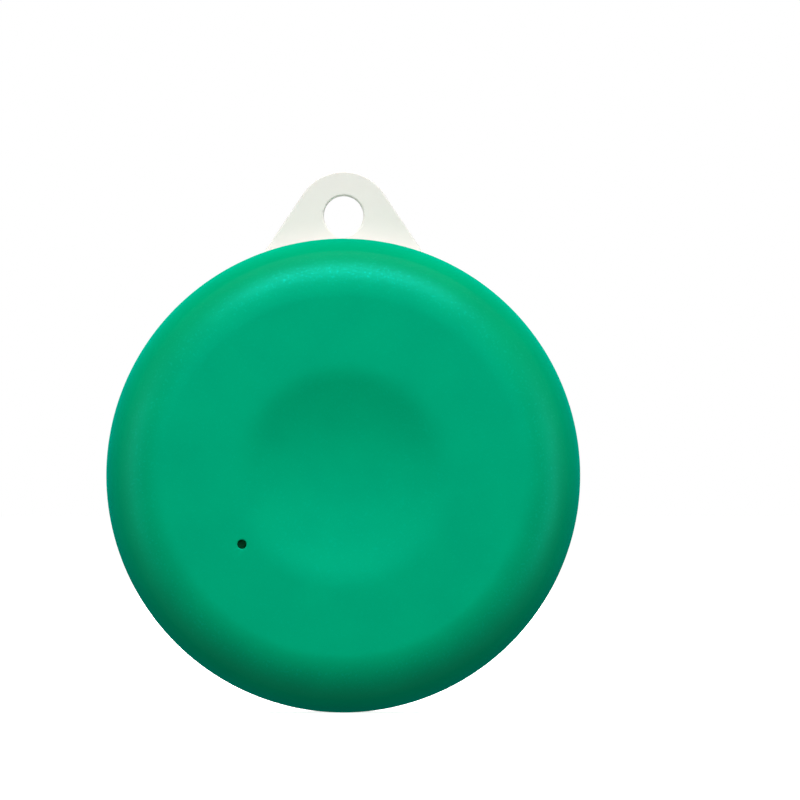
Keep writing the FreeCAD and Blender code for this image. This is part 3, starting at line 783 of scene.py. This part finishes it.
def make_back_skin():
    """Floor, rim and lug in one moulding, with the pocket for the key and the slot for a nail."""
    cover, rear, _ = sizes()
    radius, seam, edge, turn, gap = cover.radius, cover.seam, SEAM_ROUND, BACK_ROUND, KEY_CLEARANCE
    inner = radius - cover.wall - rear.spigot_clearance - rear.spigot_wall
    profile = [(0, 0)] + arc((radius - rear.chamfer - turn, turn), turn, -90, -45, 3)
    profile += arc((radius - turn, rear.chamfer + turn), turn, -45, 0, 3)
    profile += arc((radius - edge, seam - edge), edge, 0, 90, 4)
    skin = turned("back_skin", profile + [(inner, seam), (inner, rear.floor), (0, rear.floor)])
    outline = [Vector((x, 0, z)) for x, z in lug_outline()]
    lug = rounded_edges(prism("lug", outline, FORWARD * rear.lug_thickness), LUG_ROUND, segments=4)
    wide, high, back = rear.key_width + 2 * gap, rear.key_thickness + 2 * gap, seam - KEY_REACH - gap
    key = block("key_pocket", wide, high, back, seam + edge, z=radius - cover.wall / 2)
    high, back = 2 * rear.pry_reach, seam - rear.pry_height
    pry = block("pry_slot", rear.pry_width, high, back, seam + edge, z=-radius)
    combined(skin, [lug], "UNION")
    return combined(skin, [lug_hole(), key, pry], "DIFFERENCE")


def make_spigot(name, middle):
    """Length of wall that stands up inside the front cover, with two crush ribs."""
    cover, rear, _ = sizes()
    bore, edge, sweep = cover.radius - cover.wall, SPIGOT_ROUND, math.degrees(rear.spigot_sweep)
    outer, top, sunk = bore - rear.spigot_clearance, cover.seam + rear.spigot_height, cover.seam - ROOT
    inner = outer - rear.spigot_wall
    profile = [(inner, sunk), (outer, sunk)] + arc((outer - edge, top - edge), edge, 0, 90, 3)
    profile += arc((inner + ROOT, top - ROOT), ROOT, 90, 180, 2)
    wall = turned(name, profile, start=middle - sweep / 2, sweep=sweep, segments=SMALL)
    thick, lead, low, end = CRUSH_RADIUS, CRUSH_RADIUS / 2, sunk + ROOT / 2, top - 2 * edge
    profile = [(0, low), (thick, low), (thick, end - lead), (thick - lead, end), (0, end)]
    ribs = []
    for around in (middle - CRUSH_OFFSET, middle + CRUSH_OFFSET):
        spot = arc((0, 0), bore - CRUSH_GAP - thick, around, around, 1)[0]
        ribs.append(turned("crush_rib", profile, centre=spot, segments=TINY))
    return combined(wall, ribs, "UNION")


def make_back_features():
    """Lengths of spigot, and the walls round the cell."""
    rear = bpy.context.scene.tag_rear
    made = [make_spigot(f"spigot_{i}", degrees) for i, degrees in enumerate(SPIGOT_ANGLES, 1)]
    width, _, _, _, _, z = extent("cell_can")
    inner, edge, sweep = width / 2 + rear.pocket_clearance, SPIGOT_ROUND, math.degrees(rear.pocket_sweep)
    outer, top, sunk = inner + rear.pocket_wall, rear.floor + rear.pocket_height, rear.floor - ROOT
    profile = [(inner, sunk), (outer, sunk)] + arc((outer - edge, top - edge), edge, 0, 90, 3)
    profile += arc((inner + edge, top - edge), edge, 90, 180, 3)
    for i, degrees in enumerate(POCKET_ANGLES, 1):
        wall = turned(f"pocket_wall_{i}", profile, (0, z), degrees - sweep / 2, sweep, SMALL // 2)
        made.append(wall)
    return made


def make_cell():
    """Can, gasket and cap of the coin cell."""
    _, _, parts = sizes()
    width, _, back, rim, x, z = extent("cell_can")
    gasket_width, _, floor, _, _, _ = extent("cell_gasket")
    cap_width, _, under, crown, _, _ = extent("cell_cap")
    radius, bore, core, top = width / 2, gasket_width / 2, cap_width / 2, parts.crown_radius
    edge, thin, turn = parts.cell_edge, PART_ROUND, CAP_ROUND
    profile = [(0, back)] + arc((radius - edge, back + edge), edge, -90, 0, 6)
    profile += arc((radius - edge, rim - edge), edge, 0, 90, 6)
    profile += arc((bore + thin, rim - thin), thin, 90, 180, 3)
    can = turned("cell_cup", profile + [(bore, floor), (0, floor)], (x, z))
    low = rim + GASKET_STAND - thin
    profile = [(core, floor), (bore - thin / 4, floor)] + arc((bore - 1.5 * thin, low), thin, 0, 90, 3)
    gasket = turned("cell_seal", profile + arc((core + thin, low), thin, 90, 180, 3), (x, z))
    profile = [(0, under), (core, under)] + arc((core - turn, rim - turn), turn, 0, 90, 3)
    profile += arc((top + turn, rim + turn), turn, 270, 180, 3)
    profile += arc((top - turn, crown - turn), turn, 0, 90, 4)
    return can, gasket, turned("cell_lid", profile + [(0, crown)], (x, z))


def make_board():
    """Round board with its notch; its faces and its routed edge have a finish each."""
    _, _, parts = sizes()
    width, _, back, front, _, _ = extent("circuit_board")
    radius, edge = width / 2, PART_ROUND
    profile = [(0, back), (radius - edge, back), (radius, back + edge)]
    board = turned("board_laminate", profile + [(radius, front - edge), (radius - edge, front), (0, front)])
    notch = block("notch", parts.notch_width, 2 * parts.notch_depth, back - edge, front + edge, z=-radius)
    coated(combined(board, [notch], "DIFFERENCE"), solder_mask())
    board.data.materials.append(stuff("routed_glass_epoxy"))
    for face in board.data.polygons:
        face.material_index = 0 if abs(face.normal.y) > 0.5 else 1
    return board


# Vias on the board's rear, in mm right of and above its middle
VIAS = [(3.1, 8.3), (-3.1, 8.3), (5.6, 6.4), (-5.6, 6.4), (8.2, 3.6), (-8.2, 3.6), (3.4, 1.8), (-3.4, 1.8)]
VIAS += [(8.6, -6.2), (-8.6, -6.2), (5.2, -8.6), (-5.2, -8.6), (2.6, -5.0), (-2.6, -5.0), (0, -9.4)]


def make_vias(mask):
    """Small masked rings where the tracks go through the board."""
    back, radius, rise = extent("circuit_board")[2], bpy.context.scene.tag_parts.via_radius, VIA_HEIGHT
    hole, top = radius / 3, back - rise
    profile = [(hole, back), (hole + rise, top), (radius - rise, top), (radius, back)]
    made = [coated(turned("via_1", profile, segments=SMALL // 4), mask)]
    made += [copied(made[0], f"via_{i + 1}") for i in range(1, len(VIAS))]
    return [placed(via, (x * MM, 0, z * MM)) for via, (x, z) in zip(made, VIAS)]


def make_contacts():
    """Two side contacts and the long one, as (piece, node) pairs, then the solder at their feet."""
    _, _, parts = sizes()
    back = extent("circuit_board")[2]
    cell_width, _, _, _, _, cell_z = extent("cell_can")
    width, half, long_foot = extent("negative_contact")[0], parts.leaf_sheet / 2, parts.long_foot
    foot, press = back - half, cell_width / 2 + LEAF_GAP + half
    stem, top = press + parts.side_bow, long_foot + parts.leaf_foot
    path = [(stem + parts.leaf_foot, foot), (stem, foot)]
    path += [(press, back - parts.side_press), (stem, back - parts.side_reach)]
    made = []
    for name, across in (("side_contact_1", RIGHT), ("side_contact_2", -RIGHT)):
        made.append((strip(name, path, LEAF_BEND, width, across, UP, UP * cell_z), "positive_contacts"))
    press = extent("cell_cap")[3] + LEAF_GAP + half
    path = [(top, foot), (long_foot, foot), (cell_z, press), (cell_z - parts.long_tail, press + 2 * half)]
    made.append((strip("long_contact", path, LEAF_BEND, width, UP, RIGHT, Vector()), "negative_contact"))
    wide, deep, shift = width + 2 * SOLDER_REACH, parts.leaf_foot + SOLDER_REACH, parts.leaf_foot / 2
    solder = []
    for x in (-stem - shift, stem + shift):
        solder.append((block("solder", deep, wide, back - half, back, x, cell_z), "positive_contacts"))
    solder.append((block("solder", wide, deep, back - half, back, 0, top - shift), "negative_contact"))
    return made, solder


def solder_foot(x, z, side, width, rise):
    """Hollow fillet of solder that runs out to one side of an end at (x, z)."""
    base = extent("circuit_board")[3]
    curve = [(0, 0)] + [(SOLDER_REACH * u, rise * v) for u, v in arc((1, 1), 1, 270, 180, 5)]
    outline = [Vector((x + side * u, -base - v, z - width / 2)) for u, v in curve]
    return coated(prism("foot", outline, UP * width), "dipped_tin")


def make_end_capped(name, box, body, glaze=None):
    """Chip part with a tinned cap and a solder fillet at each end."""
    end, edge = bpy.context.scene.tag_parts.cap_end, PART_ROUND
    width, height, back, front, x, z = extent(box)
    middle = block(name, width - 2 * edge, height - edge, back + edge / 2, front - edge / 2, x, z)
    pieces = [coated(rounded_edges(middle, edge / 2, segments=1), body)]
    if glaze:
        top = block("glaze", width - 2 * end, height - 2 * edge, front - edge, front, x, z)
        pieces.append(coated(rounded_edges(top, edge / 2, segments=1), glaze))
    for side in (-1, 1):
        cap = block("end", end, height, back, front, x + side * (width - end) / 2, z)
        pieces.append(coated(rounded_edges(cap, edge), "dipped_tin"))
        pieces.append(solder_foot(x + side * (width - edge) / 2, z, side, height, (front - back) / 2))
    return joined(name, pieces)


def make_repeated(node, stem, body, glaze=None):
    """One chip part for each solid of a node: the first is modelled and the others are copies."""
    boxes = islands(node)
    made = [make_end_capped(stem + "_1", boxes[0], body, glaze)]
    for i, (low, _) in enumerate(boxes[1:]):
        made.append(placed(copied(made[0], f"{stem}_{i + 2}"), low - boxes[0][0]))
    return made


def make_radio():
    """Square radio chip with a dot at its first corner, and its leads in four rows."""
    parts = bpy.context.scene.tag_parts
    width, height, back, front, x, z = extent("radio_chip")
    body = rounded_edges(block("radio_body", width, height, back, front, x, z), PART_ROUND)
    low, high = front - DOT_DEPTH, front + DOT_DEPTH
    profile = [(0, low), (DOT_RADIUS, low), (DOT_RADIUS, high), (0, high)]
    spot = (x - width / 2 + 3 * DOT_RADIUS, z + height / 2 - 3 * DOT_RADIUS)
    combined(body, [turned("dot", profile, centre=spot, segments=TINY)], "DIFFERENCE")
    rise, count = LEAD_HEIGHT, int(width / parts.lead_pitch) - 1
    rows = []
    for i in range(count):
        along = (i - (count - 1) / 2) * parts.lead_pitch
        rows.append(solder_foot(width / 2 - rise / 4, along, 1, parts.lead_width, rise))
    first = joined("row", rows)
    turns = [first] + [placed(copied(first, "row"), degrees=degrees) for degrees in (90, 180, 270)]
    return body, placed(joined("radio_leads", turns), (x, 0, z))


def make_lidded(name, node, split, base, lid, inset, edge):
    """Part with a base up to a share of its height, and a lid of another stuff over it."""
    width, height, back, front, x, z = extent(node)
    level = back + (front - back) * split
    bottom = rounded_edges(block(name, width, height, back, level, x, z), PART_ROUND)
    top = block("lid", width - 2 * inset, height - 2 * inset, level - PART_ROUND, front, x, z)
    pieces = [coated(bottom, base), coated(rounded_edges(top, edge, segments=3), lid)]
    wide = height * SOLDER_SHARE
    for side in (-1, 1):
        pieces.append(solder_foot(x + side * (width - edge) / 2, z, side, wide, level - back))
    return joined(name, pieces)


def make_well(node, radius, deep):
    """Square block with a round well in its front."""
    width, height, back, front, x, z = extent(node)
    body = rounded_edges(block(node + "_body", width, height, back, front, x, z), PART_ROUND)
    radius -= PART_ROUND
    profile = [(0, front - deep), (radius, front - deep)] + mouth(radius, front, PART_ROUND, 4)
    return combined(body, [turned("well", profile, (x, z), segments=SMALL)], "DIFFERENCE")


def make_switch_cover():
    """Pressed frame with its two tabs, and the plunger that stands through it."""
    parts = bpy.context.scene.tag_parts
    _, _, foot, front, _, _ = extent("switch_frame")
    width, _, _, back, _, _ = extent("switch_base")
    radius, sheet, edge = parts.plunger_radius, front - back, PART_ROUND / 2
    hole = radius + PLUNGER_GAP
    plate = block("switch_plate", width, width, back, front)
    side = (width + sheet) / 2
    combined(plate, [block("tab", sheet, parts.switch_tab, foot, front, x) for x in (-side, side)], "UNION")
    profile = [(0, back - edge), (hole, back - edge)] + mouth(hole, front, edge, 3)
    combined(rounded_edges(plate, edge), [turned("hole", profile, segments=SMALL)], "DIFFERENCE")
    width, _, back, front, _, _ = extent("switch_plunger")
    flange, edge, level = width / 2, PART_ROUND, back + FLANGE_HEIGHT
    profile = [(0, back), (flange - edge, back), (flange, back + edge), (flange, level - edge)]
    profile += [(flange - edge, level), (radius, level)]
    profile += arc((radius - 2 * edge, front - 2 * edge), 2 * edge, 0, 90, 4) + [(0, front)]
    return plate, turned("switch_pin", profile, segments=SMALL)


class TAG_OT_front_cover(bpy.types.Operator):
    """Models the green front cover with its dish, vent, ribs and clips"""

    bl_idname = "tag.front_cover"
    bl_label = "Front cover"

    def execute(self, context):
        green = spark_eroded_abs()
        for piece in [make_cover_skin(), *make_cover_features()]:
            finished(piece, green, "front_cover")
        return {"FINISHED"}


class TAG_OT_rear_cover(bpy.types.Operator):
    """Models the white rear cover with its lug, spigot and the walls round the cell"""

    bl_idname = "tag.rear_cover"
    bl_label = "Rear cover"

    def execute(self, context):
        white = satin_abs()
        for piece in [make_back_skin(), *make_back_features()]:
            finished(piece, white, "rear_cover", "rear_shell")
        return {"FINISHED"}


class TAG_OT_coin_cell(bpy.types.Operator):
    """Models the can, gasket and cap of the coin cell"""

    bl_idname = "tag.coin_cell"
    bl_label = "Coin cell"

    def execute(self, context):
        can, gasket, cap = make_cell()
        x, z = extent("cell_can")[4:]
        plated = drawn_nickel_plate((x, 0.0, z))
        finished(can, plated, "cell_can", "coin_cell")
        finished(gasket, "moulded_polypropylene", "cell_gasket", "coin_cell")
        finished(cap, plated, "cell_cap", "coin_cell")
        coated(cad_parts["cell_core"], "pressed_powder")
        return {"FINISHED"}


class TAG_OT_board(bpy.types.Operator):
    """Models the round board and its vias, and finishes its pads and its antenna"""

    bl_idname = "tag.board"
    bl_label = "Board"

    def execute(self, context):
        board = finished(make_board(), None, "circuit_board")
        for via in make_vias(board.data.materials[0]):
            finished(via, None, "circuit_board", replaces=False)
        coated(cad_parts["test_pads"], "flash_gold")
        coated(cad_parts["antenna_trace"], "lacquered_copper")
        return {"FINISHED"}


class TAG_OT_contacts(bpy.types.Operator):
    """Models the three leaf contacts and the solder at their feet"""

    bl_idname = "tag.contacts"
    bl_label = "Contacts"

    def execute(self, context):
        contacts, solder = make_contacts()
        for piece, node in contacts:
            finished(piece, "rolled_nickel_strip", node)
        for i, (piece, node) in enumerate(solder):
            piece.name = piece.data.name = f"contact_solder_{i + 1}"
            rounded_edges(piece, 2 * PART_ROUND, segments=3)
            finished(piece, "dipped_tin", node, replaces=False)
        return {"FINISHED"}


class TAG_OT_small_parts(bpy.types.Operator):
    """Models the radio, the crystals and the other small parts on the board"""

    bl_idname = "tag.small_parts"
    bl_label = "Small parts"

    def execute(self, context):
        for piece in make_repeated("capacitors", "capacitor", "fired_titanate"):
            finished(piece, None, "capacitors")
        for piece in make_repeated("resistors", "resistor", "fired_alumina", "fired_glaze"):
            finished(piece, None, "resistors")
        inductor = make_end_capped("inductor_body", "inductor", "sintered_ferrite")
        finished(inductor, None, "inductor")
        radio, leads = make_radio()
        finished(radio, "moulded_epoxy", "radio_chip")
        finished(leads, None, "radio_chip", replaces=False)
        # Share of the height that is base, its stuff, the lid's stuff, and the lid's inset and rounding
        lid = (0.55, "fired_alumina", "plated_kovar", LID_INSET, 1.5 * PART_ROUND)
        lens = (0.4, "fired_alumina", "cast_epoxy", PART_ROUND, 2 * PART_ROUND)
        for name, node, look in (
            ("fast_crystal", "main_crystal", lid),
            ("slow_crystal", "clock_crystal", lid),
            ("lamp", "status_led", lens),
        ):
            finished(make_lidded(name, node, *look), None, node)
        coated(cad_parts["sensor_gasket"], "cut_foam")
        # The membrane seen through the vent gets a painted green that stands in for light bounced off the
        # vent's green walls
        coated(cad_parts["vent_membrane"], "film_painted_green_bounce")
        return {"FINISHED"}


class TAG_OT_push_switch(bpy.types.Operator):
    """Models the push switch under the dish, and the humidity sensor's block with its window"""

    bl_idname = "tag.push_switch"
    bl_label = "Push switch and sensor"

    def execute(self, context):
        parts = context.scene.tag_parts
        for node, radius, deep, body in (
            ("humidity_sensor", parts.window_radius, parts.window_depth, "moulded_epoxy"),
            ("switch_base", parts.well_radius, parts.well_depth, "moulded_polymer"),
        ):
            finished(make_well(node, radius, deep), body, node)
        plate, pin = make_switch_cover()
        finished(plate, "stamped_stainless", "switch_frame")
        finished(pin, "moulded_polyamide", "switch_plunger", "switch_button")
        coated(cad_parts["switch_terminals"], "dipped_tin")
        coated(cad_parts["switch_dome"], "etched_spring_steel")
        return {"FINISHED"}


# Soft boxes: azimuth and elevation in degrees, width and height in metres, power in watts, and gloss
SOFT_BOXES = {
    "key": (0, 57, 0.5, 0.22, 3.2, True),
    "fill": (0, 14, 0.5, 0.3, 0.75, True),
    "top_back": (0, 132, 0.5, 0.35, 0.9, True),
    "left": (-68, 0, 0.25, 0.4, 0.7, True),
    "right": (68, 0, 0.25, 0.4, 0.7, True),
    "left_back": (-135, 0, 0.17, 0.4, 0.2, False),
    "right_back": (135, 0, 0.17, 0.4, 0.2, False),
    "back": (180, 35, 0.5, 0.4, 2.4, True),
}


class TAG_OT_stage(bpy.types.Operator):
    """Adds the floor, the soft lights and the camera"""

    bl_idname = "tag.stage"
    bl_label = "Stage"

    def execute(self, context):
        stage, cover = context.scene.tag_stage, context.scene.tag_cover
        bare_selection()
        bpy.ops.mesh.primitive_plane_add(size=stage.floor_size, location=(0, 0, -cover.radius))
        floor = coated(added("floor"), backlit_paper())
        floor.visible_diffuse = floor.visible_glossy = False
        for name, (azimuth, elevation, width, height, power, gloss) in SOFT_BOXES.items():
            a, e = math.radians(azimuth), math.radians(elevation)
            aim = Vector((math.sin(a) * math.cos(e), -math.cos(a) * math.cos(e), math.sin(e)))
            place = FORWARD * cover.depth / 2 + aim * stage.light_distance
            bpy.ops.object.light_add(type="AREA", location=place)
            light = added(name + "_light")
            light.rotation_euler = aim.to_track_quat("Z", "Y").to_euler()
            light.data.shape = "RECTANGLE"
            light.data.size, light.data.size_y, light.data.energy = width, height, power
            light.visible_camera, light.visible_glossy = False, gloss
        context.scene.world = bpy.data.worlds.new("studio_world")
        tree = bare_tree(context.scene.world)
        # The camera sees a white room, and the tag is lit by a dimmer one
        seen = add_node(tree, "ShaderNodeLightPath").outputs["Is Camera Ray"]
        glow = add_node(tree, "ShaderNodeMapRange", [seen, 0.0, 1.0, stage.ambient, 1.0])
        sky = add_node(tree, "ShaderNodeBackground", [(1, 1, 1, 1), glow])
        add_node(tree, "ShaderNodeOutputWorld", [sky])
        place = (stage.camera_x, -stage.camera_distance, stage.camera_z)
        bpy.ops.object.camera_add(location=place, rotation=(math.pi / 2, 0, 0))
        context.scene.camera = camera = added("photo_camera")
        camera.data.lens, camera.data.clip_start = stage.lens, MM
        context.scene.view_settings.view_transform = "Standard"
        return {"FINISHED"}


class TAG_PT_sidebar(bpy.types.Panel):
    """Sizes and colours of the tag, and a button for each of its pieces"""

    bl_idname = "TAG_PT_sidebar"
    bl_label = "Sensor tag"
    bl_space_type = "VIEW_3D"
    bl_region_type = "UI"
    bl_category = "Sensor tag"

    def draw(self, context):
        for operator in OPERATORS:
            self.layout.operator(operator.bl_idname)
        for group in GROUPS:
            box = self.layout.box()
            for name in GROUPS[group].__annotations__:
                box.prop(getattr(context.scene, group), name)


GROUPS = {
    "tag_cover": CoverSizes,
    "tag_rear": RearSizes,
    "tag_parts": PartSizes,
    "tag_finishes": Finishes,
    "tag_stage": StageSettings,
}
OPERATORS = [
    TAG_OT_front_cover,
    TAG_OT_rear_cover,
    TAG_OT_coin_cell,
    TAG_OT_board,
    TAG_OT_contacts,
    TAG_OT_small_parts,
    TAG_OT_push_switch,
    TAG_OT_stage,
]


def register():
    """Adds the classes, and the sizes and colours to the scene."""
    for made in [*GROUPS.values(), *OPERATORS, TAG_PT_sidebar]:
        bpy.utils.register_class(made)
    for name, group in GROUPS.items():
        setattr(bpy.types.Scene, name, bpy.props.PointerProperty(type=group))


def unregister():
    """Takes them away again."""
    for name in GROUPS:
        delattr(bpy.types.Scene, name)
    for made in [TAG_PT_sidebar, *reversed(OPERATORS), *GROUPS.values()]:
        bpy.utils.unregister_class(made)


def main():
    """Runs the operators in order."""
    register()
    for operator in OPERATORS:
        group, name = operator.bl_idname.split(".")
        getattr(getattr(bpy.ops, group), name)()


if __name__ == "__main__":
    main()
